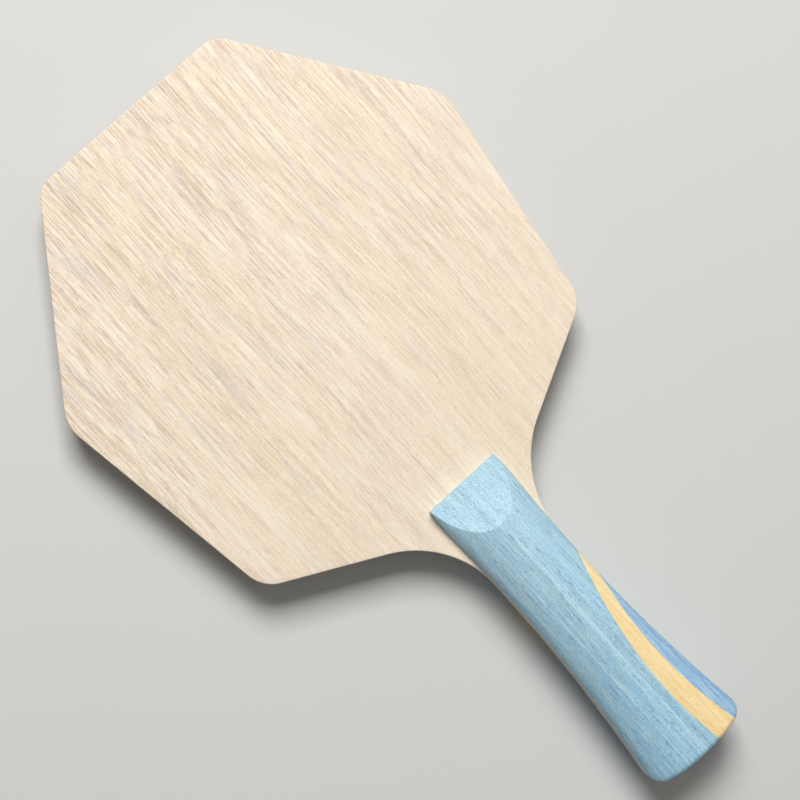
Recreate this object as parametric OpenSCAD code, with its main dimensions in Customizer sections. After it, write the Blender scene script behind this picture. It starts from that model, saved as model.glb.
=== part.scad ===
// Table tennis blade: a bare, many-cornered head of seven glued plies,
// and a flared handle of two scales, each with an inlaid curved stripe.
// The blade lies in the XY plane with its head towards +Y and its front
// face up. The origin is under the middle of the blade, at the height of
// the back scale's crown.

/* [Head outline] */
// Length from the top edge to the end of the handle
blade_l = 258.4; // [254:0.2:264]
// Width of the top edge between its sharp corners
top_w = 69.2; // [66:0.2:72]
// Width across the two widest corners before they are rounded
head_w = 152; // [148:0.5:156]
// Drop from the top edge to the widest corners
head_drop = 58.5; // [55:0.5:62]
// Width across the lower corners before they are rounded
low_w = 129.8; // [126:0.2:133]
// Drop from the top edge to the lower corners
low_drop = 133.1; // [130:0.1:136]
// Angle of the shoulders below the level of the lower corners
shoulder_angle = 27.4; // [25:0.2:30]
// Radius of the top corners
top_r = 8.3; // [4:0.1:12]
// Radius of the widest corners
wide_r = 12.7; // [8:0.1:16]
// Radius of the lower corners
low_r = 10.9; // [6:0.1:14]
// Radius of the hollow between each shoulder and the handle
neck_r = 34; // [28:0.5:36]

/* [Plies] */
// Thickness of each face ply under the handle scales
face_t = 0.6; // [0.5:0.05:1.2]
// Thickness of each fibre ply
fibre_t = 0.25; // [0.15:0.05:0.4]
// Thickness of each inner wood ply
inner_t = 0.65; // [0.5:0.05:1]
// Thickness of the core ply
core_t = 2.8; // [2.2:0.1:3.8]
// Depth that the playing faces are sanded after the scales are glued on
sanded_t = 0.05; // [0.02:0.01:0.1]
// Width of the unsanded margin beside and in front of each scale
land_margin = 0.1; // [0.05:0.05:0.3]

/* [Handle] */
// Length of the handle scales
grip_l = 108.6; // [102:0.2:112]
// Width of the handle at its waist
waist_w = 25.1; // [24.9:0.1:27]
// Distance from the end of the handle to its waist
waist_from_butt = 72.5; // [68:0.5:76]
// Radius of the long curve of each side
flare_r = 485; // [440:5:560]
// Width of each scale at its front edge
front_w = 25.9; // [25:0.1:26.6]
// Length of the flat cuts that narrow a scale to the width of its front edge
side_cut_l = 9; // [6:0.5:12]
// Thickness of each scale at its crown
scale_t = 9; // [8:0.1:10]
// Height of the straight part of a scale's sides
side_t = 1; // [0.6:0.1:1.5]
// Radius of the round-over next to a scale's sides
side_r = 5.5; // [4:0.1:6]
// Radius of the flatter round-over up to the crown
crown_r = 16; // [15:0.5:16.5]
// Length of the sloping cut at the front of a scale
ramp_l = 16.3; // [13:0.1:18]
// Thickness that the sloping cut leaves at the front edge
ramp_t = 4; // [3:0.1:5]
// Radius of the sloping cut's slight hollow
ramp_r = 60; // [50:5:100]
// Radius of the end's slight bulge
butt_r = 80; // [70:5:150]
// Radius of the end's corners, seen from the front
butt_corner_r = 4.5; // [3:0.5:6]
// Radius of the rounded rim at the end
rim_r = 1.8; // [1:0.1:2.5]

/* [Inlay] */
// Radius of both of the stripe's edges
stripe_r = 133; // [123:1:143]
// Distance from the blade's centre line to the stripe's inner edge
stripe_x = 3.6; // [3:0.1:5]
// Distance from the end of the handle to where the inner edge is deepest
stripe_from_butt = 23; // [20:0.5:26]
// Distance from the inner edge sideways to the outer edge
stripe_w = 6; // [4:0.1:7]
// Distance from the inner edge up the handle to the outer edge
stripe_shift = 10; // [6:0.5:12]

/* [Hidden] */

face_wood = [0.93, 0.85, 0.72];
inner_wood = [0.85, 0.74, 0.58];
core_wood = [0.88, 0.80, 0.66];
fibre_blue = [0.25, 0.45, 0.68];
grip_blue = [0.60, 0.77, 0.86];
grip_yellow = [0.96, 0.83, 0.58];
edge_blue = [0.50, 0.70, 0.83];

plies_t = core_t + 2 * (inner_t + fibre_t + face_t);
mid_z = scale_t + plies_t / 2;
top_y = blade_l / 2;
butt_y = -blade_l / 2;
grip_y = butt_y + grip_l;
waist_y = butt_y + waist_from_butt;
past = 1;

// Round parts stand this far over the lines that they blend into, so that
// each pair crosses cleanly where it would only touch.
hair = 0.002;

// The handle's sides are arcs about a point well outside each side.
flare_centre = [waist_w / 2 + flare_r, waist_y];
flare_angle = 20;
butt_centre = [0, butt_y + butt_r];

// A scale's front corner, and the point where its side cut runs out.
front_corner = [front_w / 2, grip_y];
side_cut_y = grip_y - side_cut_l;
side_cut_x = flare_centre[0] - sqrt(pow(flare_r, 2) - pow(side_cut_y - waist_y, 2));
side_cut_end = [side_cut_x, side_cut_y];

// The inset at which a scale's round-over reaches the crown, and the
// point where its two arcs meet, both from the tangent condition.
over_h = scale_t - side_t;
over_drop = crown_r - over_h;
over_run = sqrt(pow(crown_r - side_r, 2) - pow(over_drop, 2));
crown_in = side_r + over_run;
over_meet = [side_r, side_t] - side_r / (crown_r - side_r) * [over_run, -over_drop];

function unit(v) = v / norm(v);

// The point at distances ra and rb from a and b, to the left of a towards b.
function meet(a, ra, b, rb) =
    let (
        d = norm(b - a),
        along = (ra * ra - rb * rb + d * d) / (2 * d),
        up = sqrt(ra * ra - along * along),
        u = (b - a) / d
    )
    a + along * u + up * [-u[1], u[0]];

// The same outline on the left side, still in anticlockwise order.
function mirrored(points) = [for (i = [len(points) - 1 : -1 : 0]) [-points[i][0], points[i][1]]];

// A corner of a polygon: where its arc is centred and where the arc starts and ends.
function corner(before, point, after, r) =
    let (
        u = unit(before - point),
        v = unit(after - point),
        half = acos(u * v) / 2
    )
    [point + unit(u + v) * r / sin(half), point + u * r / tan(half), point + v * r / tan(half)];

shoulder_low = [0, top_y - low_drop - low_w / 2 * tan(shoulder_angle)];
right_points = [
    [top_w / 2, top_y],
    [head_w / 2, top_y - head_drop],
    [low_w / 2, top_y - low_drop]
];
right_radii = [top_r, wide_r, low_r];
right_chain = concat([[-top_w / 2, top_y]], right_points, [shoulder_low]);
right_corners = [for (i = [0 : 2])
    corner(right_chain[i], right_chain[i + 1], right_chain[i + 2], right_radii[i])];

// The neck's hollow touches the shoulder and the handle's side.
shoulder_dir = [cos(shoulder_angle), sin(shoulder_angle)];
shoulder_out = [sin(shoulder_angle), -cos(shoulder_angle)];
neck_line = shoulder_low + neck_r * shoulder_out;
neck_to_flare = flare_centre - neck_line;
neck_along = neck_to_flare * shoulder_dir;
neck_off = neck_to_flare * shoulder_out;
neck_centre = neck_line
    + (neck_along - sqrt(pow(flare_r - neck_r, 2) - neck_off * neck_off)) * shoulder_dir;
neck_on_shoulder = neck_centre - neck_r * shoulder_out;
neck_on_side = neck_centre + neck_r * unit(neck_centre - flare_centre);

// The end's corner touches the handle's side and the end's bulge.
butt_corner = meet(flare_centre, flare_r + butt_corner_r, butt_centre, butt_r - butt_corner_r);
corner_to_side = 2 * butt_corner_r * unit(flare_centre - butt_corner);
corner_to_end = 2 * butt_corner_r * unit(butt_corner - butt_centre);
butt_corner_waste = [
    butt_corner,
    butt_corner + corner_to_end,
    butt_corner + corner_to_end + corner_to_side,
    butt_corner + corner_to_side
];

module at_both_sides(point) {
    for (side = [-1, 1])
        translate([side * point[0], point[1]]) children();
}

module head_outline() {
    right = [for (i = [2 : -1 : 0], k = [2, 1]) right_corners[i][k]];
    polygon(concat([shoulder_low], right, mirrored(right)));
    for (i = [0 : 2])
        at_both_sides(right_corners[i][0]) circle(r = right_radii[i] + hair, $fn = 180);
}

// The webs between the head and the handle, hollowed out at each side.
module neck_outline() {
    right = [neck_on_side, neck_centre, neck_on_shoulder];
    difference() {
        polygon(concat(right, mirrored(right)));
        at_both_sides(neck_centre) circle(r = neck_r + hair, $fn = 360);
    }
}

module butt_corners_waste() {
    polygon(butt_corner_waste);
    polygon(mirrored(butt_corner_waste));
}

module butt_corners_round() {
    at_both_sides(butt_corner) circle(r = butt_corner_r + 4 * hair, $fn = 120);
}

// The handle's outline, carried up into the head to its lower corners.
module grip_outline() {
    difference() {
        intersection() {
            translate([-waist_w, butt_y - past])
                square([2 * waist_w, right_points[2][1] - butt_y + past]);
            translate(butt_centre) circle(r = butt_r, $fn = 1440);
        }
        at_both_sides(flare_centre) circle(r = flare_r, $fn = 2880);
        butt_corners_waste();
    }
    butt_corners_round();
}

module blade_outline() {
    head_outline();
    neck_outline();
    grip_outline();
}

// One ply, from its lower face at height z.
module ply(z, t) {
    translate([0, 0, z]) linear_extrude(t) blade_outline();
}

// A strip up to a scale's front edge, with the two side cuts, and a margin.
module front_cut_outline(margin) {
    front = front_corner + [margin, margin];
    run_out = front + 2 * (side_cut_end - front_corner);
    right = [[waist_w, butt_y - past], [waist_w, run_out[1]], run_out, front];
    polygon(concat(right, mirrored(right)));
}

// The strip that a scale is glued to, with its margin.
module land_outline() {
    difference() {
        intersection() {
            blade_outline();
            front_cut_outline(land_margin);
        }
        at_both_sides(flare_centre) circle(r = flare_r - land_margin, $fn = 2880);
    }
}

// A face ply, built downwards from the face that the scale is glued to.
module face_ply() {
    translate([0, 0, -face_t]) linear_extrude(face_t - sanded_t) blade_outline();
    translate([0, 0, -face_t]) linear_extrude(face_t) land_outline();
}

// Half cross-section of a scale, measured inwards from its side.
module scale_section() {
    reach = 2 * waist_w;
    crown_centre = [crown_in, scale_t - crown_r];
    intersection() {
        translate([-past, 0]) square([reach + past, scale_t + past]);
        union() {
            polygon([
                [0, -past],
                [reach, -past],
                [reach, scale_t],
                [crown_in, scale_t],
                over_meet,
                [0, side_t]
            ]);
            translate([side_r, side_t]) circle(r = side_r + 2 * hair, $fn = 180);
            intersection() {
                translate(crown_centre) circle(r = crown_r + hair, $fn = 360);
                polygon([
                    crown_centre,
                    crown_centre + [crown_r / 4, 2 * crown_r],
                    crown_centre + 2 * (over_meet - crown_centre)
                ]);
            }
        }
    }
}

// The solid left by running the scale's round-over along the right side.
module side_sweep() {
    translate([flare_centre[0], flare_centre[1], 0])
        rotate([0, 0, 180 - flare_angle / 2])
            rotate_extrude(angle = flare_angle, $fn = 1440)
                translate([flare_r, 0]) scale_section();
}

// A disc whose rounded rim trims the end of the scale.
module butt_sweep() {
    rim_z = scale_t - rim_r;
    translate([butt_centre[0], butt_centre[1], 0])
        rotate_extrude($fn = 720) {
            translate([0, -past]) square([butt_r - rim_r, scale_t + past]);
            translate([0, -past]) square([butt_r, rim_z + past]);
            translate([butt_r - rim_r, rim_z]) circle(r = rim_r, $fn = 90);
        }
}

// A block that leaves the scale its front edge, its side cuts and the end's corners.
module grip_block() {
    translate([0, 0, -past])
        linear_extrude(scale_t + 2 * past) {
            difference() {
                front_cut_outline(0);
                butt_corners_waste();
            }
            butt_corners_round();
        }
}

// A drum across the handle, through the front edge and the end of the ramp.
module ramp_waste() {
    drum = meet([grip_y - ramp_l, scale_t], ramp_r, [grip_y, ramp_t], ramp_r);
    translate([-waist_w, drum[0], drum[1]])
        rotate([0, 90, 0])
            cylinder(r = ramp_r, h = 2 * waist_w, $fn = 1440);
}

// A whole scale, standing on the face that it is glued by.
module scale() {
    difference() {
        intersection() {
            side_sweep();
            mirror([1, 0, 0]) side_sweep();
            butt_sweep();
            grip_block();
        }
        ramp_waste();
    }
}

// Everything to the right of the stripe's inner edge.
module beyond_inner_edge() {
    translate([stripe_x + stripe_r, butt_y + stripe_from_butt, -past])
        cylinder(r = stripe_r, h = scale_t + 2 * past, $fn = 1440);
}

module beyond_outer_edge() {
    translate([stripe_w, stripe_shift, 0]) beyond_inner_edge();
}

module scale_body() {
    difference() {
        scale();
        beyond_inner_edge();
    }
}

module scale_stripe() {
    difference() {
        intersection() {
            scale();
            beyond_inner_edge();
        }
        beyond_outer_edge();
    }
}

module scale_edge() {
    intersection() {
        scale();
        beyond_outer_edge();
    }
}

module on_front() {
    translate([0, 0, mid_z + plies_t / 2]) children();
}

module on_back() {
    translate([0, 0, mid_z - plies_t / 2]) rotate([0, 180, 0]) children();
}

module core_ply() {
    color(core_wood) ply(mid_z - core_t / 2, core_t);
}

module front_inner_ply() {
    color(inner_wood) ply(mid_z + core_t / 2, inner_t);
}

module front_fibre_ply() {
    color(fibre_blue) ply(mid_z + core_t / 2 + inner_t, fibre_t);
}

module front_face_ply() {
    color(face_wood) on_front() face_ply();
}

module back_inner_ply() {
    color(inner_wood) ply(mid_z - core_t / 2 - inner_t, inner_t);
}

module back_fibre_ply() {
    color(fibre_blue) ply(mid_z - core_t / 2 - inner_t - fibre_t, fibre_t);
}

module back_face_ply() {
    color(face_wood) on_back() face_ply();
}

module front_scale_body() {
    color(grip_blue) on_front() scale_body();
}

module front_scale_stripe() {
    color(grip_yellow) on_front() scale_stripe();
}

module front_scale_edge() {
    color(edge_blue) on_front() scale_edge();
}

module back_scale_body() {
    color(grip_blue) on_back() scale_body();
}

module back_scale_stripe() {
    color(grip_yellow) on_back() scale_stripe();
}

module back_scale_edge() {
    color(edge_blue) on_back() scale_edge();
}

core_ply();
front_inner_ply();
front_fibre_ply();
front_face_ply();
back_inner_ply();
back_fibre_ply();
back_face_ply();
front_scale_body();
front_scale_stripe();
front_scale_edge();
back_scale_body();
back_scale_stripe();
back_scale_edge();
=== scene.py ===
import math

import bmesh
import bpy
import numpy as np
from mathutils import Matrix, Vector


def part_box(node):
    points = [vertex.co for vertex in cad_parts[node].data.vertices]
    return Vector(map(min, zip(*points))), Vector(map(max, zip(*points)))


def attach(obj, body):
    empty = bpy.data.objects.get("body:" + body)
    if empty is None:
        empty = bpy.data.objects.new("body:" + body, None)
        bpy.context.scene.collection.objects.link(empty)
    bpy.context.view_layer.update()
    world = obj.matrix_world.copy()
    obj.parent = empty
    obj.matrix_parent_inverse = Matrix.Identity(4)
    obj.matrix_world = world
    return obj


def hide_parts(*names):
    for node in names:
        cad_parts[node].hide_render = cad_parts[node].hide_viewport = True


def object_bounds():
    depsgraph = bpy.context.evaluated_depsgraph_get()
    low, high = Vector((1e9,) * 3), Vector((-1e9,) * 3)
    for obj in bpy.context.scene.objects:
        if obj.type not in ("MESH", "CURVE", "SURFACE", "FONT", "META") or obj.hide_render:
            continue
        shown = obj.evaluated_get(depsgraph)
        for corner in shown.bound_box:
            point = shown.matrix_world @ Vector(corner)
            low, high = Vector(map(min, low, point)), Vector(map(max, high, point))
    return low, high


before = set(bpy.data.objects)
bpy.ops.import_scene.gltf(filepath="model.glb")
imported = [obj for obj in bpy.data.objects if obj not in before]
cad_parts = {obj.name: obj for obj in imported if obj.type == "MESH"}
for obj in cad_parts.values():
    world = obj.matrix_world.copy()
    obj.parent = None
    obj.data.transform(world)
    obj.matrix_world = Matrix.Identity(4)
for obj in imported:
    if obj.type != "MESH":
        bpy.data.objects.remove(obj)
cadLow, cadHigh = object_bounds()

mm = 0.001

# Levels that the plies and scales stand at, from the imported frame, in mm
levels = {
    "top": cadHigh.y / mm,
    "butt": cadLow.y / mm,
    "middle": (cadLow.z + cadHigh.z) / 2 / mm,
    "grip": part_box("front_scale_body")[1].y / mm,
    "land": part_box("front_scale_body")[0].z / mm,
    "crown": cadHigh.z / mm,
}
print("frame loaded", [round(v, 4) for v in (*cadLow, *cadHigh)])

scene = bpy.context.scene
scene.view_settings.view_transform = "Standard"


cameraLook = {
    "turnX": 1.676,        # degrees, the blade's own tilts first, then its roll in the picture
    "turnY": 5.832,
    "turnZ": 41.966,
    "aside": (4.32, -9.83),  # mm from the lens axis to the blade's middle
    "distance": 610.66,    # mm
    "lens": 90.99,
    "sensor": 36,
    "nearest": 0.01,       # m
}


def bladeTurn(look):
    turnX = Matrix.Rotation(math.radians(look["turnX"]), 3, "X")
    turnY = Matrix.Rotation(math.radians(look["turnY"]), 3, "Y")
    turnZ = Matrix.Rotation(math.radians(look["turnZ"]), 3, "Z")
    return turnZ @ turnX @ turnY


def makeCamera(look):
    data = bpy.data.cameras.new("camera")
    data.lens = look["lens"]
    data.sensor_width = look["sensor"]
    data.clip_start = look["nearest"]
    camera = bpy.data.objects.new("camera", data)
    scene.collection.objects.link(camera)
    back = bladeTurn(look).transposed()
    aside = look["aside"]
    place = back @ Vector((-aside[0], -aside[1], look["distance"])) * mm
    place.z += levels["middle"] * mm
    camera.matrix_world = Matrix.Translation(place) @ back.to_4x4()
    scene.camera = camera


makeCamera(cameraLook)
print("camera made")


bladeShape = {
    "topWidth": 69.2,       # widths are between the sharp corners, before rounding
    "headWidth": 152,
    "headDrop": 58.5,       # from the top edge
    "lowWidth": 129.8,
    "lowDrop": 133.1,
    "shoulderAngle": 27.4,  # degrees
    "cornerRadii": (8.3, 12.7, 10.9),
    "neckRadius": 34,
}
gripShape = {
    "waistWidth": 25.1,
    "waistUp": 72.5,        # from the handle's end
    "flareRadius": 485,
    "buttRadius": 80,
    "buttCorner": 4.5,
    "frontWidth": 25.9,
    "sideCut": 9,           # length of the flat cuts that narrow the front
    "sideHeight": 1,        # upright part of the side, above the land
    "sideRadius": 5.5,
    "crownRadius": 16,
    "rampLength": 16.3,
    "rampHeight": 4,        # at the front edge
    "rampRadius": 60,       # of its hollow
    "rimRadius": 1.8,
}


def unit(v):
    return v / np.linalg.norm(v)


def angleTo(centre, point):
    return math.atan2(point[1] - centre[1], point[0] - centre[0])


def arcPoints(centre, radius, start, end, step):
    count = max(3, int(abs(end - start) * radius / step) + 1)
    angles = np.linspace(start, end, count)
    return centre + radius * np.column_stack([np.cos(angles), np.sin(angles)])


def linePoints(a, b, step):
    count = max(2, int(np.linalg.norm(b - a) / step) + 1)
    t = np.linspace(0, 1, count)[1:-1, None]
    return a + (b - a) * t


# Centres of the handle's side arcs, its end arc and its end corners
flareCentre = np.array([
    gripShape["waistWidth"] / 2 + gripShape["flareRadius"],
    levels["butt"] + gripShape["waistUp"],
])
buttCentre = np.array([0, levels["butt"] + gripShape["buttRadius"]])


def findButtCorner():
    toFlare = gripShape["flareRadius"] + gripShape["buttCorner"]
    toButt = gripShape["buttRadius"] - gripShape["buttCorner"]
    gap = np.linalg.norm(buttCentre - flareCentre)
    along = (toFlare**2 - toButt**2 + gap**2) / (2 * gap)
    away = math.sqrt(toFlare**2 - along**2)
    u = (buttCentre - flareCentre) / gap
    return flareCentre + along * u + away * np.array([-u[1], u[0]])


buttCorner = findButtCorner()


# Right half of the blade's outline, from the top edge down to the handle's end
def rightHalf(shape, step):
    low = np.array([shape["lowWidth"] / 2, levels["top"] - shape["lowDrop"]])
    slope = math.radians(shape["shoulderAngle"])
    middle = np.array([0, low[1] - low[0] * math.tan(slope)])
    chain = [
        np.array([-shape["topWidth"] / 2, levels["top"]]),
        np.array([shape["topWidth"] / 2, levels["top"]]),
        np.array([shape["headWidth"] / 2, levels["top"] - shape["headDrop"]]),
        low,
        middle,
    ]
    parts = []
    for i, radius in enumerate(shape["cornerRadii"]):
        u, v = unit(chain[i] - chain[i + 1]), unit(chain[i + 2] - chain[i + 1])
        half = math.acos(u @ v) / 2
        centre = chain[i + 1] + unit(u + v) * radius / math.sin(half)
        first = chain[i + 1] + u * radius / math.tan(half)
        last = chain[i + 1] + v * radius / math.tan(half)
        a, b = angleTo(centre, first), angleTo(centre, last)
        if parts:
            parts.append(linePoints(parts[-1][-1], first, step))
        parts.append(arcPoints(centre, radius, a, b if b < a else b - math.tau, step / 2))
    along = np.array([math.cos(slope), math.sin(slope)])
    out = np.array([math.sin(slope), -math.cos(slope)])
    radius = shape["neckRadius"]
    line = middle + radius * out
    reach = (flareCentre - line) @ along
    off = (flareCentre - line) @ out
    neck = line + (reach - math.sqrt((gripShape["flareRadius"] - radius) ** 2 - off**2)) * along
    onShoulder = neck - radius * out
    onSide = neck + radius * unit(neck - flareCentre)
    parts.append(linePoints(parts[-1][-1], onShoulder, step))
    a, b = angleTo(neck, onShoulder), angleTo(neck, onSide)
    parts.append(arcPoints(neck, radius, a, b if b > a else b + math.tau, step))
    a = angleTo(flareCentre, onSide) % math.tau
    b = angleTo(flareCentre, buttCorner) % math.tau
    parts.append(arcPoints(flareCentre, gripShape["flareRadius"], a, b, step)[1:])
    a, b = angleTo(buttCorner, flareCentre), angleTo(buttCentre, buttCorner)
    parts.append(arcPoints(buttCorner, gripShape["buttCorner"], a, b, step / 4)[1:])
    parts.append(arcPoints(buttCentre, gripShape["buttRadius"], b, -math.pi / 2, step)[1:-1])
    return np.vstack(parts)


def gridFaces(rows, cols, start, flip):
    i, j = np.meshgrid(np.arange(rows - 1), np.arange(cols - 1), indexing="ij")
    a = start + i * cols + j
    quads = np.stack([a, a + cols, a + cols + 1, a + 1], -1).reshape(-1, 4)
    return quads[:, ::-1] if flip else quads


def borderOrder(rows, cols):
    top = [(0, j) for j in range(cols - 1)]
    right = [(i, cols - 1) for i in range(rows - 1)]
    bottom = [(rows - 1, j) for j in range(cols - 1, 0, -1)]
    left = [(i, 0) for i in range(rows - 1, 0, -1)]
    return np.array(top + right + bottom + left)


meshLook = {
    "weld": 2e-6,         # m, points nearer than this are joined
    "sliver": 1e-6,       # m, edges shorter than this are taken out
    "sharpAngle": 32,     # degrees
}


# A closed solid from two sheets of the same grid and the wall rings between their borders
def solidFrom(name, topSheet, rings, bottomSheet):
    rows, cols = topSheet.shape[:2]
    border = borderOrder(rows, cols)
    topBorder = border[:, 0] * cols + border[:, 1]
    points = [topSheet.reshape(-1, 3), bottomSheet.reshape(-1, 3)]
    faces = [gridFaces(rows, cols, 0, False), gridFaces(rows, cols, rows * cols, True)]
    loops = [topBorder]
    count = 2 * rows * cols
    for ring in rings:
        points.append(ring)
        loops.append(count + np.arange(len(border)))
        count += len(border)
    loops.append(topBorder + rows * cols)
    for upper, lower in zip(loops[:-1], loops[1:]):
        faces.append(np.stack([upper, np.roll(upper, -1), np.roll(lower, -1), lower], -1))
    mesh = bpy.data.meshes.new(name)
    mesh.from_pydata((np.vstack(points) * mm).tolist(), [], np.vstack(faces).tolist())
    work = bmesh.new()
    work.from_mesh(mesh)
    bmesh.ops.remove_doubles(work, verts=work.verts, dist=meshLook["weld"])
    bmesh.ops.dissolve_degenerate(work, edges=work.edges, dist=meshLook["sliver"])
    bmesh.ops.recalc_face_normals(work, faces=work.faces)
    work.to_mesh(mesh)
    work.free()
    mesh.shade_smooth()
    mesh.set_sharp_from_angle(angle=math.radians(meshLook["sharpAngle"]))
    piece = bpy.data.objects.new(name, mesh)
    scene.collection.objects.link(piece)
    return piece


def standFor(piece, node):
    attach(piece, "root")
    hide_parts(node)


plyShape = {
    "step": 1.0,          # mm between outline points
    "faceColumns": 48,
    "innerColumns": 10,
    "faceSoft": 0.32,     # round-over of the sanded outer edge
    "innerSoft": 0.05,
    "softSteps": 4,
    "faceThick": 0.6,
    "fibreThick": 0.25,
    "innerThick": 0.65,
    "sanded": 0.05,
    "fibreIn": 0.05,      # how far each ply's edge stands back from the face plies'
    "innerIn": 0.02,
    "coreIn": 0.03,
}


# Sheet of the blade's outline, inset by a distance, at one height
def bladeSheet(right, inset, z, cols):
    rows = len(right)
    left = right * [-1, 1]
    t = np.linspace(0, 1, cols)
    sheet = left[:, None, :] + (right - left)[:, None, :] * t[None, :, None]
    border = borderOrder(rows, cols)
    loop = sheet[border[:, 0], border[:, 1]]
    along = np.roll(loop, -1, 0) - np.roll(loop, 1, 0)
    inward = np.column_stack([along[:, 1], -along[:, 0]])
    inward /= np.linalg.norm(inward, axis=1)[:, None]
    moved = loop + inward * inset
    shift = np.zeros((rows, cols, 2))
    shift[border[:, 0], border[:, 1]] = moved
    sheet = shift[:, :1] + (shift[:, -1:] - shift[:, :1]) * t[None, :, None]
    sheet[0], sheet[-1] = shift[0], shift[-1]
    full = np.dstack([sheet, np.full((rows, cols), z)])
    ring = np.column_stack([moved, np.full(len(moved), z)])
    return full, ring


def makePly(name, low, high, cols, topSoft, bottomSoft, standBack):
    right = rightHalf(bladeShape, plyShape["step"])
    steps = plyShape["softSteps"]
    top, _ = bladeSheet(right, standBack + topSoft, high, cols)
    bottom, _ = bladeSheet(right, standBack + bottomSoft, low, cols)
    rings = []
    for k in range(1, steps + 1):
        turn = math.pi / 2 * k / steps
        inset = standBack + topSoft * (1 - math.sin(turn))
        rings.append(bladeSheet(right, inset, high - topSoft * (1 - math.cos(turn)), cols)[1])
    for k in range(steps, 0, -1):
        turn = math.pi / 2 * k / steps
        inset = standBack + bottomSoft * (1 - math.sin(turn))
        rings.append(bladeSheet(right, inset, low + bottomSoft * (1 - math.cos(turn)), cols)[1])
    return solidFrom(name, top, rings, bottom)


def makePlies(shape):
    made = {}
    half = levels["land"] - levels["middle"]
    coreHalf = half - shape["faceThick"] - shape["fibreThick"] - shape["innerThick"]
    soft = shape["innerSoft"]
    core = makePly("corePly", levels["middle"] - coreHalf, levels["middle"] + coreHalf,
                   shape["innerColumns"], soft, soft, shape["coreIn"])
    standFor(core, "core_ply")
    made["core"] = [core]
    made["inner"], made["fibre"], made["face"] = [], [], []
    for side, word in ((1, "front"), (-1, "back")):
        base = coreHalf
        for kind, thick, back, slotName in (
            ("inner", shape["innerThick"], shape["innerIn"], "inner_wood"),
            ("fibre", shape["fibreThick"], shape["fibreIn"], "fibre_cloth"),
            ("face", shape["faceThick"], 0.0, "face_wood"),
        ):
            near = levels["middle"] + side * base
            depth = thick - (shape["sanded"] if kind == "face" else 0)
            far = levels["middle"] + side * (base + depth)
            cols = shape["faceColumns"] if kind == "face" else shape["innerColumns"]
            outer = shape["faceSoft"] if kind == "face" else soft
            topSoft, bottomSoft = (outer, soft) if side > 0 else (soft, outer)
            piece = makePly(word + kind.capitalize() + "Ply", min(near, far), max(near, far),
                            cols, topSoft, bottomSoft, back)
            standFor(piece, f"{word}_{kind}_ply")
            made[kind].append(piece)
            base += thick
    return made


plies = makePlies(plyShape)
print("plies made")


scaleShape = {
    "flankColumns": 34,
    "crownColumns": 26,
    "stripeColumns": 18,
    "frontRows": 6,
    "rampRows": 80,
    "gripRows": 190,
    "cornerRows": 16,
    "rimRows": 16,
    "cornerPast": 1,      # how far past the end's corners their closer rows begin
    "bulgeReach": 14,     # length over which the rows take up the end's bulge
    "frontSoft": 0.25,    # round-over of the ramp's front edge
    "rampSoft": 0.12,     # softening where the ramp meets the flanks
    "flankLeast": 0.05,   # least width of a flank beside the ramp
    "wallShares": (0.66, 0.33),
    "embed": 0.1,         # how far the scale reaches down into its land
    "jointDrop": 0.09,    # groove along the stripe's two glue lines
    "jointWidth": 0.16,
}
stripeShape = {
    "radius": 133,        # of both edges
    "innerX": 3.6,
    "deepestUp": 23,      # from the handle's end to where the inner edge is deepest
    "outerShift": (6, 10),  # the outer edge is the inner edge's arc moved aside and up
    "behindFront": 30,    # rows nearer the blade than this have no stripe
}
scaleTall = levels["crown"] - levels["land"]
stripeFrom = levels["grip"] - stripeShape["behindFront"]


def sectionNumbers():
    over = scaleTall - gripShape["sideHeight"]
    drop = gripShape["crownRadius"] - over
    gap = gripShape["crownRadius"] - gripShape["sideRadius"]
    run = math.sqrt(gap**2 - drop**2)
    turn = math.atan2(drop, run)
    return gripShape["sideRadius"] + run, gripShape["sideRadius"] * (1 - math.cos(turn))


crownIn, meetIn = sectionNumbers()


def rootOf(values):
    return np.sqrt(np.clip(values, 0, None))


# Height of the round-over at a distance in from the side, and the distance at a height
def overHeight(inset):
    inset = np.clip(inset, 0, None)
    small, big = gripShape["sideRadius"], gripShape["crownRadius"]
    low = gripShape["sideHeight"] + rootOf(small**2 - (small - inset) ** 2)
    high = scaleTall - big + rootOf(big**2 - (crownIn - np.minimum(inset, crownIn)) ** 2)
    return np.where(inset < meetIn, low, high)


tableSize = 4000
insetTable = crownIn * np.linspace(0, 1, tableSize) ** 2
heightTable = overHeight(insetTable)


def insetAt(height):
    return np.interp(height, heightTable, insetTable)


def bulge(x):
    return gripShape["buttRadius"] - np.sqrt(gripShape["buttRadius"] ** 2 - x**2)


# One row across the handle: where it crosses the middle, and how much it follows the end's bulge
def rowY(row, x):
    return row[0] + row[1] * bulge(x)


# A curved row's meeting points are found by going round a few times from a first guess, in mm
firstGuess = {"side": 14.0, "stripe": 8.0}
rounds = {"side": 6, "stripe": 8, "end": 12, "row": 40}
closeEnough = 1e-6    # mm


def sideX(row, inset):
    x = np.full(np.shape(inset), firstGuess["side"])
    for _ in range(rounds["side"]):
        y = rowY(row, x)
        x = flareCentre[0] - np.sqrt((gripShape["flareRadius"] + inset) ** 2 - (y - flareCentre[1]) ** 2)
    return x


# Flat cut at each side of the front, as the handle's half width that it leaves
def cutX(y):
    back = levels["grip"] - y
    if back > 2 * gripShape["sideCut"]:
        return math.inf
    away = flareCentre[1] - levels["grip"] + gripShape["sideCut"]
    side = flareCentre[0] - math.sqrt(gripShape["flareRadius"] ** 2 - away**2)
    front = gripShape["frontWidth"] / 2
    return front + (side - front) * back / gripShape["sideCut"]


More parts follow.
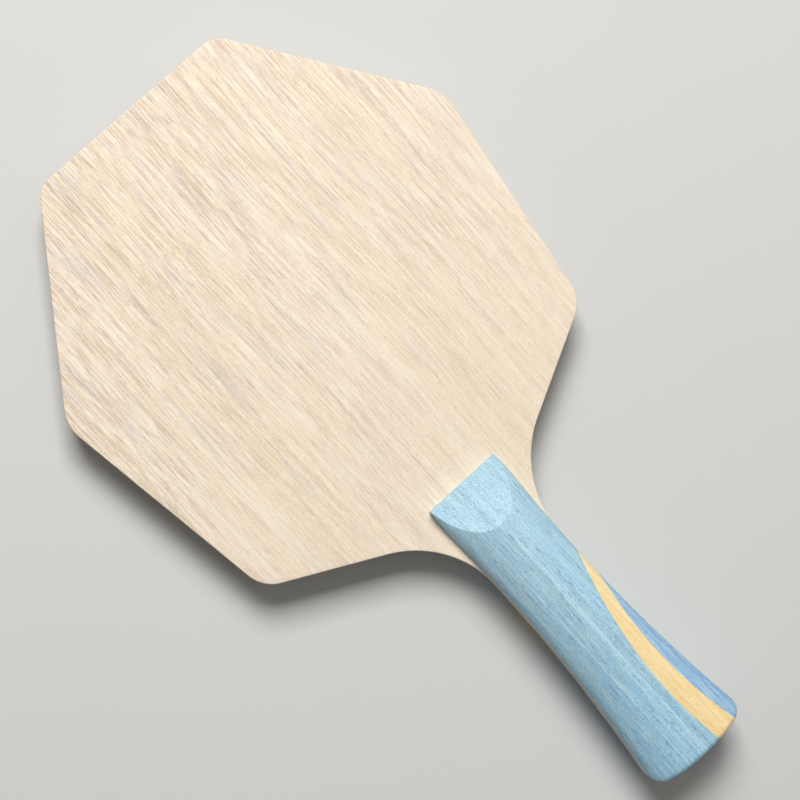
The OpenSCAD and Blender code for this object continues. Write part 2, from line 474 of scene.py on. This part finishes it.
def rowEnd(row):
    x = float(sideX(row, np.array(0.0)))
    for _ in range(rounds["end"]):
        y = rowY(row, x)
        under = buttCorner[1] - y
        reach = gripShape["buttCorner"] ** 2 - under**2
        corner = buttCorner[0] + math.sqrt(max(reach, 0)) if under > 0 else math.inf
        side = float(sideX(row, np.array(0.0)))
        nearer = min(side, corner, cutX(y))
        if abs(nearer - x) < closeEnough:
            break
        x = nearer
    return x


def stripeEdge(row, outer):
    shape = stripeShape
    radius = shape["radius"]
    aside, further = shape["outerShift"] if outer else (0, 0)
    start, up = shape["innerX"] + aside, shape["deepestUp"] + further
    x = firstGuess["stripe"]
    for _ in range(rounds["stripe"]):
        away = rowY(row, x) - levels["butt"] - up
        x = start + radius - math.sqrt(max(radius**2 - away**2, 0))
    return x


def softMin(a, b, width):
    return np.minimum(a, b) - np.clip(width - np.abs(a - b), 0, None) ** 2 / (4 * width)


# The ramp is hollowed by a wide drum that touches its front edge and its end
def findDrum():
    front = np.array([levels["grip"], gripShape["rampHeight"]])
    end = np.array([levels["grip"] - gripShape["rampLength"], scaleTall])
    half = np.linalg.norm(front - end) / 2
    along = (front - end) / (2 * half)
    rise = math.sqrt(gripShape["rampRadius"] ** 2 - half**2)
    return (front + end) / 2 + rise * np.array([-along[1], along[0]])


drum = findDrum()


def rampHeight(y):
    return drum[1] - rootOf(gripShape["rampRadius"] ** 2 - (y - drum[0]) ** 2)


# Height of a scale's surface above its land
def scaleHeight(x, y):
    radius = gripShape["flareRadius"]
    toRight = np.hypot(x - flareCentre[0], y - flareCentre[1]) - radius
    toLeft = np.hypot(x + flareCentre[0], y - flareCentre[1]) - radius
    body = np.minimum(overHeight(toRight), overHeight(toLeft))
    toEnd = gripShape["buttRadius"] - np.hypot(x - buttCentre[0], y - buttCentre[1])
    inCorner = (np.abs(x) > buttCorner[0]) & (y < buttCorner[1])
    toCorner = gripShape["buttCorner"] - np.hypot(np.abs(x) - buttCorner[0], y - buttCorner[1])
    toEnd = np.where(inCorner, np.minimum(toEnd, toCorner), toEnd)
    rim = gripShape["rimRadius"]
    near = np.clip(rim - toEnd, 0, rim)
    share = np.clip((body - gripShape["sideHeight"]) / (scaleTall - gripShape["sideHeight"]), 0, 1)
    body = body - share * (rim - np.sqrt(rim**2 - near**2))
    height = softMin(body, rampHeight(y), scaleShape["rampSoft"])
    soft = scaleShape["frontSoft"]
    near = np.clip(soft - (levels["grip"] - y), 0, soft)
    return height - (soft - np.sqrt(soft**2 - near**2))


# Rows from the ramp's front edge to the handle's end, closer together where the surface turns
def scaleRows(shape):
    soft, length = shape["frontSoft"], gripShape["rampLength"]
    turns = np.linspace(0, math.pi / 2, shape["frontRows"])[:-1]
    front = levels["grip"] - soft * (1 - np.cos(turns))
    t = np.linspace(1, 0, shape["rampRows"])
    ramp = levels["grip"] - soft - (length - soft) * (1 - t**2)
    rimTop = levels["butt"] + gripShape["rimRadius"]
    cornerTop = levels["butt"] + gripShape["buttCorner"] + shape["cornerPast"]
    grip = np.linspace(ramp[-1], cornerTop, shape["gripRows"])[1:]
    corner = np.linspace(cornerTop, rimTop, shape["cornerRows"])[1:]
    turns = np.linspace(0, math.pi / 2, shape["rimRows"])[1:]
    rim = levels["butt"] + gripShape["rimRadius"] * (1 - np.sin(turns))
    ys = np.concatenate([front, ramp, grip, corner, rim])
    follow = np.clip((cornerTop + shape["bulgeReach"] - ys) / shape["bulgeReach"], 0, 1)
    return [(y, f * f * (3 - 2 * f)) for y, f in zip(ys, follow)]


def eased(count):
    return 0.5 - 0.5 * np.cos(np.linspace(0, math.pi, count))


fineCount = 160
noRun = 1e-9    # mm, a shorter row is one point


# Columns between two distances across one row, evenly along the surface and closer at both ends
def spacedColumns(row, start, end, count):
    fine = start + (end - start) * eased(fineCount)
    y = rowY(row, fine)
    z = scaleHeight(fine, y)
    run = np.concatenate([[0], np.cumsum(np.hypot(np.diff(fine), np.diff(z)))])
    if run[-1] < noRun:
        return np.full(count, start)
    return np.interp(eased(count) * run[-1], run, fine)


# Where a row passes from the flank to the ramp or the crown
def kinkX(row):
    rampTop = float(rampHeight(row[0]))
    inset = insetAt(rampTop) if rampTop < scaleTall else crownIn
    kink = float(sideX(row, np.array(float(inset))))
    return min(kink, rowEnd(row) - scaleShape["flankLeast"])


def bodyColumns(row, shape):
    end = rowEnd(row)
    kink = kinkX(row)
    right = min(end, stripeEdge(row, False)) if row[0] < stripeFrom else end
    flank, crown = shape["flankColumns"], shape["crownColumns"]
    return np.concatenate([
        spacedColumns(row, -end, -kink, flank),
        spacedColumns(row, -kink, kink, crown)[1:-1],
        spacedColumns(row, kink, right, flank),
    ])


# Lowers a surface to a small groove along its glue lines
def groove(sheet, leftJoint, rightJoint):
    for joint, column in ((leftJoint, 0), (rightJoint, -1)):
        if joint is None:
            continue
        away = np.abs(sheet[:, :, 0] - sheet[:, column, 0][:, None])
        near = np.clip(1 - away / scaleShape["jointWidth"], 0, 1)
        sheet[:, :, 2] -= scaleShape["jointDrop"] * near**2 * joint[:, None]
    return sheet


def buildScalePart(name, rows, columns, leftJoint, rightJoint, side):
    xs = np.array(columns)
    ys = np.array([rowY(row, line) for row, line in zip(rows, xs)])
    zs = scaleHeight(xs, ys)
    sheet = groove(np.dstack([xs, ys, zs]), leftJoint, rightJoint)
    base = np.dstack([xs, ys, np.full(xs.shape, -scaleShape["embed"])])
    border = borderOrder(*xs.shape)
    edge = sheet[border[:, 0], border[:, 1]]
    rings = []
    for share in scaleShape["wallShares"]:
        ring = edge.copy()
        ring[:, 2] = edge[:, 2] * share
        rings.append(ring)
    if side < 0:
        sheet, base = sheet * [-1, 1, -1], base * [-1, 1, -1]
        rings = [ring * [-1, 1, -1] for ring in rings]
    offset = [0, 0, levels["middle"] + side * (levels["land"] - levels["middle"])]
    return solidFrom(name, sheet + offset, [ring + offset for ring in rings], base + offset)


# The row, as a pair of numbers, where a width first or last reaches zero
def rowWhere(rows, width, first):
    values = [width(row) for row in rows]
    inside = [i for i, v in enumerate(values) if v > 0]
    i = inside[0] if first else inside[-1]
    other = i - 1 if first else i + 1
    if other < 0 or other >= len(rows):
        return i, None
    a, b = np.array(rows[i]), np.array(rows[other])
    for _ in range(rounds["row"]):
        middle = (a + b) / 2
        if width(middle) > 0:
            a = middle
        else:
            b = middle
    return i, tuple(a)


def makeScale(side, word, shape):
    rows = scaleRows(shape)
    body = [bodyColumns(row, shape) for row in rows]
    joined = np.array([1.0 if stripeEdge(row, False) < rowEnd(row) and row[0] < stripeFrom else 0.0
                       for row in rows])
    made = {"body": buildScalePart(word + "ScaleBody", rows, body, None, joined, side)}

    lower = [row for row in rows if row[0] < stripeFrom]

    def innerWidth(row):
        return rowEnd(row) - stripeEdge(row, False)

    def outerWidth(row):
        return rowEnd(row) - stripeEdge(row, True)

    i, start = rowWhere(lower, innerWidth, True)
    stripeRows = [start] + lower[i:]
    columns = [spacedColumns(row, stripeEdge(row, False), min(rowEnd(row), stripeEdge(row, True)),
                             shape["stripeColumns"]) for row in stripeRows]
    on = np.ones(len(stripeRows))
    outerOn = np.array([1.0 if outerWidth(row) > 0 else 0.0 for row in stripeRows])
    made["stripe"] = buildScalePart(word + "ScaleStripe", stripeRows, columns, on, outerOn, side)

    i, start = rowWhere(lower, outerWidth, True)
    k, end = rowWhere(lower, outerWidth, False)
    edgeRows = [start] + lower[i:k + 1] + ([end] if end else [])
    columns = [spacedColumns(row, stripeEdge(row, True), max(rowEnd(row), stripeEdge(row, True)),
                             shape["stripeColumns"]) for row in edgeRows]
    on = np.ones(len(edgeRows))
    made["edge"] = buildScalePart(word + "ScaleEdge", edgeRows, columns, on, None, side)

    standFor(made["body"], f"{word}_scale_body")
    standFor(made["stripe"], f"{word}_scale_stripe")
    standFor(made["edge"], f"{word}_scale_edge")
    return made


scales = [makeScale(1, "front", scaleShape), makeScale(-1, "back", scaleShape)]
print("scales made")


# Screen colour to the linear one that the shader takes
def paint(red, green, blue):
    return tuple(((c / 255 + 0.055) / 1.055) ** 2.4 for c in (red, green, blue)) + (1.0,)


class Nodes:
    def __init__(self, name):
        self.material = bpy.data.materials.new(name)
        self.material.use_nodes = True
        self.tree = self.material.node_tree
        self.tree.nodes.clear()
        self.output = self.add("ShaderNodeOutputMaterial")
        self.shader = self.add("ShaderNodeBsdfPrincipled")
        self.link(self.shader.outputs["BSDF"], self.output.inputs["Surface"])
        self.place = self.add("ShaderNodeTexCoord").outputs["Object"]

    def add(self, kind, **settings):
        node = self.tree.nodes.new(kind)
        for key, value in settings.items():
            setattr(node, key, value)
        return node

    def link(self, a, b):
        self.tree.links.new(a, b)

    def put(self, socket, value):
        if isinstance(value, bpy.types.NodeSocket):
            self.link(value, socket)
        else:
            socket.default_value = value

    def scaled(self, vector, scale, offset=(0, 0, 0)):
        node = self.add("ShaderNodeMapping")
        self.put(node.inputs["Vector"], vector)
        node.inputs["Scale"].default_value = scale
        node.inputs["Location"].default_value = offset
        return node.outputs["Vector"]

    def noise(self, vector, detail=2.0, rough=0.5):
        node = self.add("ShaderNodeTexNoise")
        self.put(node.inputs["Vector"], vector)
        node.inputs["Scale"].default_value = 1.0
        node.inputs["Detail"].default_value = detail
        node.inputs["Roughness"].default_value = rough
        return node.outputs["Fac"]

    def maths(self, kind, a, b=0.0):
        node = self.add("ShaderNodeMath", operation=kind)
        self.put(node.inputs[0], a)
        self.put(node.inputs[1], b)
        return node.outputs["Value"]

    def times(self, a, b):
        return self.maths("MULTIPLY", a, b)

    def span(self, value, low, high, toLow=0.0, toHigh=1.0):
        node = self.add("ShaderNodeMapRange", clamp=True)
        self.put(node.inputs["Value"], value)
        limits = {"From Min": low, "From Max": high, "To Min": toLow, "To Max": toHigh}
        for key, number in limits.items():
            node.inputs[key].default_value = number
        return node.outputs["Result"]

    def blend(self, share, a, b):
        node = self.add("ShaderNodeMix", data_type="RGBA")
        self.put(node.inputs["Factor"], share)
        self.put(node.inputs[6], a)
        self.put(node.inputs[7], b)
        return node.outputs[2]

    # Lays a colour over another, more of it the further a value is from low to high
    def tint(self, colour, over, value, low, high, most=1.0, share=None):
        amount = self.span(value, low, high, 0, most)
        if share is not None:
            amount = self.times(amount, share)
        return self.blend(amount, colour, over)

    def bump(self, height, strength, distance):
        node = self.add("ShaderNodeBump")
        self.put(node.inputs["Height"], height)
        node.inputs["Strength"].default_value = strength
        node.inputs["Distance"].default_value = distance
        return node.outputs["Normal"]

    # Coordinates in mm whose fibres wander a little sideways along the grain
    def grainPlace(self, wander, reach, offset):
        place = self.scaled(self.place, (1000, 1000, 1000), offset)
        parts = self.add("ShaderNodeSeparateXYZ")
        self.link(place, parts.inputs["Vector"])
        slow = self.noise(self.scaled(place, (1 / reach[0], 1 / reach[1], 1 / reach[0])), 1.5)
        shift = self.times(self.maths("SUBTRACT", slow, 0.5), wander)
        joined = self.add("ShaderNodeCombineXYZ")
        self.link(self.maths("ADD", parts.outputs["X"], shift), joined.inputs["X"])
        self.link(parts.outputs["Y"], joined.inputs["Y"])
        self.link(self.maths("ADD", parts.outputs["Z"], shift), joined.inputs["Z"])
        return joined.outputs["Vector"]

    # Streaks along the grain from one line of a grain dictionary
    def streaks(self, place, layer):
        width, length, depth, detail, rough, offset = layer
        return self.noise(self.scaled(place, (1 / width, 1 / length, 1 / depth), offset), detail, rough)


faceLook = {
    "cream": paint(243, 226, 203),
    "beige": paint(238, 220, 190),
    "tan": paint(214, 189, 161),
    "light": paint(254, 241, 224),
    "grey": paint(212, 198, 194),
    "pore": paint(170, 148, 134),
    "poreShare": 0.5,
    "lively": (0.3, 1.05),    # strength of the streaks at the handle and at the top left
    "roughness": (0.55, 0.7),
}


# Streaks and specks of the face: width, length and depth in mm, detail, roughness, and an offset
faceGrain = {
    "band": (15, 260, 60, 2, 0.5, (0, 0, 0)),
    "wide": (2.6, 130, 12, 3, 0.6, (3, 1, 2)),
    "grey": (1.4, 30, 12, 3, 0.65, (9, 3, 4)),
    "fine": (0.4, 15, 3, 2, 0.6, (7, 2, 5)),
    "pores": (0.26, 5, 0.8, 2, 0.6, (11, 4, 9)),
    "lines": (1.1, 60, 9, 2, 0.5, (5, 8, 1)),
    "crowd": (40, 50, 40, 1, 0.5, (2, 0, 0)),
    "fuzz": (1 / 3.0, 1 / 0.9, 1 / 3.0, 2, 0.7, (0, 0, 0)),
    "wander": (6.0, (45, 110)),      # how far the fibres stray, over which width and length
    "livelier": (-0.25, 0.95, 0),    # the way in which the streaks get stronger
    "livelierFrom": (-30, 110),      # mm
    "relief": (0.3, 0.0001),
    "shine": 0.25,
}


def makeFaceWood(name, look, offset):
    n = Nodes(name)
    grain = faceGrain
    place = n.grainPlace(*grain["wander"], offset)
    toward = n.add("ShaderNodeVectorMath", operation="DOT_PRODUCT")
    n.link(place, toward.inputs[0])
    toward.inputs[1].default_value = grain["livelier"]
    lively = n.span(toward.outputs["Value"], *grain["livelierFrom"], *look["lively"])
    band = n.streaks(place, grain["band"])
    colour = n.tint(look["cream"], look["beige"], band, 0.35, 0.65)
    wide = n.streaks(place, grain["wide"])
    colour = n.tint(colour, look["tan"], wide, 0.52, 0.7, 0.34)
    colour = n.tint(colour, look["light"], wide, 0.47, 0.3, 0.36)
    grey = n.streaks(place, grain["grey"])
    colour = n.tint(colour, look["grey"], grey, 0.51, 0.66, 0.85, lively)
    fine = n.streaks(place, grain["fine"])
    colour = n.tint(colour, look["tan"], fine, 0.5, 0.7, 1, lively)
    colour = n.tint(colour, look["light"], fine, 0.5, 0.3, 1, lively)
    # Pores: thin dashes that follow each other in lines and crowd in some bands
    pores = n.streaks(place, grain["pores"])
    lines = n.streaks(place, grain["lines"])
    crowd = n.streaks(place, grain["crowd"])
    lifted = n.maths("ADD", n.times(n.maths("SUBTRACT", lines, 0.5), 0.5),
                     n.times(n.maths("SUBTRACT", crowd, 0.5), 0.3))
    dash = n.times(n.span(n.maths("ADD", pores, lifted), 0.56, 0.68), lively)
    colour = n.blend(n.times(dash, look["poreShare"]), colour, look["pore"])
    fuzz = n.streaks(place, grain["fuzz"])
    colour = n.tint(colour, look["tan"], fuzz, 0.5, 0.68, 0.25)
    colour = n.tint(colour, look["light"], fuzz, 0.5, 0.32, 0.28)
    n.put(n.shader.inputs["Base Color"], colour)
    n.put(n.shader.inputs["Roughness"], n.span(fine, 0.3, 0.7, *look["roughness"]))
    n.shader.inputs["Specular IOR Level"].default_value = grain["shine"]
    height = n.maths("SUBTRACT", n.times(fine, 0.5), dash)
    n.put(n.shader.inputs["Normal"], n.bump(height, *grain["relief"]))
    return n.material


dyedLook = {
    "main": paint(153, 200, 222),
    "deep": paint(112, 163, 199),
    "dull": paint(164, 197, 205),
    "light": paint(204, 232, 240),
    "pore": paint(84, 118, 144),
    "poreShare": 0.6,
    "veins": ((0.3, 0.9), (-6.3, 0.55), (3.6, 0.4)),   # mm from the middle, half width
    "paintedLightShare": 0.56,          # share of painted highlight that lightens the wood toward the blade, where the ramp catches the light
    "roughness": (0.5, 0.66),
}
edgeLook = {
    "main": paint(144, 187, 222),
    "deep": paint(102, 148, 198),
    "dull": paint(150, 185, 206),
    "light": paint(206, 230, 241),
    "pore": paint(74, 108, 146),
    "poreShare": 0.4,
    "veins": (),
    "paintedLightShare": 0.2,
    "roughness": (0.5, 0.66),
}
stripeLook = {
    "main": paint(252, 225, 163),
    "deep": paint(230, 188, 118),
    "dull": paint(249, 221, 166),
    "light": paint(255, 244, 204),
    "pore": paint(204, 160, 104),
    "poreShare": 0.35,
    "veins": (),
    "paintedLightShare": 0.3,
    "roughness": (0.5, 0.66),
}


scaleGrain = {
    "band": (4.0, 140, 20, 2, 0.5, (0, 0, 0)),
    "dull": (1.4, 40, 9, 3, 0.6, (4, 2, 6)),
    "breaks": (1.5, 22, 9, 2, 0.6, (2, 6, 1)),
    "threads": (0.55, 45, 2, 2, 0.55, (6, 1, 7)),
    "fine": (0.33, 13, 0.9, 2, 0.6, (8, 5, 3)),
    "fuzz": (1 / 3.3, 1 / 2.2, 1 / 3.3, 2, 0.7, (0, 0, 0)),
    "pores": (0.36, 3.0, 0.22, 1, 0.5, (1, 9, 4)),
    "wander": (1.0, (22, 100)),
    "paintedLightFrom": (-115, -30),        # mm along the blade over which the painted highlight grows
    "relief": (0.3, 0.0001),
    "shine": 0.3,
}


def makeScaleWood(name, look, offset):
    n = Nodes(name)
    grain = scaleGrain
    place = n.grainPlace(*grain["wander"], offset)
    band = n.streaks(place, grain["band"])
    colour = n.tint(look["main"], look["deep"], band, 0.35, 0.65, 0.4)
    parts = n.add("ShaderNodeSeparateXYZ")
    n.link(place, parts.inputs["Vector"])
    # Painted highlight: the wood is lightened toward the blade, standing in for the light that the ramp
    # catches
    start, end = (y + offset[1] for y in grain["paintedLightFrom"])
    colour = n.tint(colour, look["light"], parts.outputs["Y"], start, end, look["paintedLightShare"])
    dull = n.streaks(place, grain["dull"])
    colour = n.tint(colour, look["dull"], dull, 0.47, 0.66)
    if look["veins"]:
        broken = n.span(n.streaks(place, grain["breaks"]), 0.3, 0.6, 0.3, 0.85)
        for middle, half in look["veins"]:
            away = n.maths("ABSOLUTE", n.maths("SUBTRACT", parts.outputs["X"], middle + offset[0]))
            colour = n.tint(colour, look["light"], away, half, 0, 1, broken)
    threads = n.streaks(place, grain["threads"])
    colour = n.tint(colour, look["light"], threads, 0.55, 0.68, 0.45)
    colour = n.tint(colour, look["deep"], threads, 0.45, 0.32, 0.22)
    fine = n.streaks(place, grain["fine"])
    colour = n.tint(colour, look["light"], fine, 0.5, 0.7, 0.55)
    colour = n.tint(colour, look["deep"], fine, 0.5, 0.3, 0.5)
    fuzz = n.streaks(place, grain["fuzz"])
    colour = n.tint(colour, look["light"], fuzz, 0.5, 0.66, 0.5)
    colour = n.tint(colour, look["deep"], fuzz, 0.5, 0.34, 0.52)
    # Pores: hollow threads along the grain, dots where the surface cuts across them
    dash = n.span(n.streaks(place, grain["pores"]), 0.65, 0.71)
    colour = n.blend(n.times(dash, look["poreShare"]), colour, look["pore"])
    n.put(n.shader.inputs["Base Color"], colour)
    n.put(n.shader.inputs["Roughness"], n.span(fine, 0.3, 0.7, *look["roughness"]))
    n.shader.inputs["Specular IOR Level"].default_value = grain["shine"]
    height = n.maths("SUBTRACT", n.times(n.maths("ADD", fine, fuzz), 0.5), dash)
    n.put(n.shader.inputs["Normal"], n.bump(height, *grain["relief"]))
    return n.material


innerLook = {
    "cream": paint(212, 184, 146),
    "beige": paint(198, 168, 128),
    "tan": paint(178, 144, 106),
    "light": paint(226, 202, 166),
    "grey": paint(190, 166, 140),
    "pore": paint(128, 102, 80),
    "poreShare": 0.5,
    "lively": (0.8, 0.8),
    "roughness": (0.6, 0.75),
}
coreLook = {
    "cream": paint(236, 216, 184),
    "beige": paint(226, 203, 166),
    "tan": paint(206, 178, 140),
    "light": paint(244, 228, 200),
    "grey": paint(212, 192, 168),
    "pore": paint(158, 130, 104),
    "poreShare": 0.45,
    "lively": (0.8, 0.8),
    "roughness": (0.6, 0.75),
}
fibreLook = {
    "dark": paint(44, 74, 112),
    "pale": paint(96, 128, 160),
    "tows": (0.9, 0.9, 6),       # how many to the mm
    "threads": (5, 5, 14),
    "relief": (0.3, 0.00005),
    "roughness": (0.4, 0.55),
}


def makeFibre(name, look):
    n = Nodes(name)
    place = n.scaled(n.place, (1000, 1000, 1000))
    tow = n.noise(n.scaled(place, look["tows"]))
    thread = n.noise(n.scaled(place, look["threads"]), rough=0.6)
    colour = n.tint(look["dark"], look["pale"], tow, 0.35, 0.65)
    colour = n.tint(colour, look["dark"], thread, 0.5, 0.8, 0.5)
    n.put(n.shader.inputs["Base Color"], colour)
    n.put(n.shader.inputs["Roughness"], n.span(thread, 0.3, 0.7, *look["roughness"]))
    n.put(n.shader.inputs["Normal"], n.bump(thread, *look["relief"]))
    return n.material


# Where in the grain each piece is cut from, in mm
cutFrom = {
    "frontFace": (0, 0, 0),
    "backFace": (140, 60, 0),
    "inner": (30, 20, 10),
    "core": (60, 90, 20),
    "frontBody": (0, 0, 0),
    "frontEdge": (50, 20, 0),
    "frontStripe": (20, 70, 0),
    "backBody": (37, 37, 0),
    "backEdge": (87, 20, 0),
    "backStripe": (57, 70, 0),
}


def dress(pieces, material):
    for piece in pieces:
        piece.data.materials.append(material)


dress([plies["face"][0]], makeFaceWood("frontFaceWood", faceLook, cutFrom["frontFace"]))
dress([plies["face"][1]], makeFaceWood("backFaceWood", faceLook, cutFrom["backFace"]))
dress(plies["inner"], makeFaceWood("innerWood", innerLook, cutFrom["inner"]))
dress(plies["core"], makeFaceWood("coreWood", coreLook, cutFrom["core"]))
dress(plies["fibre"], makeFibre("fibreCloth", fibreLook))
for word, scale in zip(("front", "back"), scales):
    body = makeScaleWood(word + "DyedWood", dyedLook, cutFrom[word + "Body"])
    edge = makeScaleWood(word + "EdgeWood", edgeLook, cutFrom[word + "Edge"])
    stripe = makeScaleWood(word + "StripeWood", stripeLook, cutFrom[word + "Stripe"])
    dress([scale["body"]], body)
    dress([scale["edge"]], edge)
    dress([scale["stripe"]], stripe)
print("materials made")


stageLook = {
    "floorSize": 6.0,
    "floorColour": paint(210, 210, 207),
    "floorSpeck": paint(200, 200, 198),
    "specks": (60, 60, 60),          # to the metre
    "floorRoughness": 0.85,
    "floorGap": 0.0002,              # m below the part
    "world": 0.15,
    "keyPower": 24,
    "keySize": 0.7,
    "keyFrom": (0.32, 0.55, 0.9),    # in the blade's own directions
    "keyDistance": 1.5,
    "fillPower": 0.6,
    "fillSize": 0.8,
    "fillFrom": (0.2, -0.3, 1.0),
    "fillDistance": 1.0,
}


def makeFloor(look):
    mesh = bpy.data.meshes.new("floor")
    half = look["floorSize"] / 2
    corners = [(-half, -half, 0), (half, -half, 0), (half, half, 0), (-half, half, 0)]
    mesh.from_pydata(corners, [], [(0, 1, 2, 3)])
    floor = bpy.data.objects.new("floor", mesh)
    floor.location.z = cadLow.z - look["floorGap"]
    scene.collection.objects.link(floor)
    n = Nodes("paleFloor")
    speck = n.noise(n.scaled(n.place, look["specks"]), 3)
    colour = n.tint(look["floorColour"], look["floorSpeck"], speck, 0.3, 0.7, 0.04)
    n.put(n.shader.inputs["Base Color"], colour)
    n.shader.inputs["Roughness"].default_value = look["floorRoughness"]
    floor.data.materials.append(n.material)


def makeLight(name, direction, distance, power, size):
    data = bpy.data.lights.new(name, "AREA")
    data.energy = power
    data.size = size
    light = bpy.data.objects.new(name, data)
    scene.collection.objects.link(light)
    toLight = Vector(direction).normalized()
    light.location = toLight * distance + Vector((0, 0, levels["middle"] * mm))
    light.rotation_euler = toLight.to_track_quat("Z", "Y").to_euler()


def makeStage(look):
    makeFloor(look)
    makeLight("keyLight", look["keyFrom"], look["keyDistance"], look["keyPower"], look["keySize"])
    makeLight("fillLight", look["fillFrom"], look["fillDistance"], look["fillPower"], look["fillSize"])
    world = bpy.data.worlds.new("studio")
    world.use_nodes = True
    sky = world.node_tree.nodes["Background"]
    sky.inputs["Color"].default_value = (1, 1, 1, 1)
    sky.inputs["Strength"].default_value = look["world"]
    scene.world = world


makeStage(stageLook)
print("stage made")
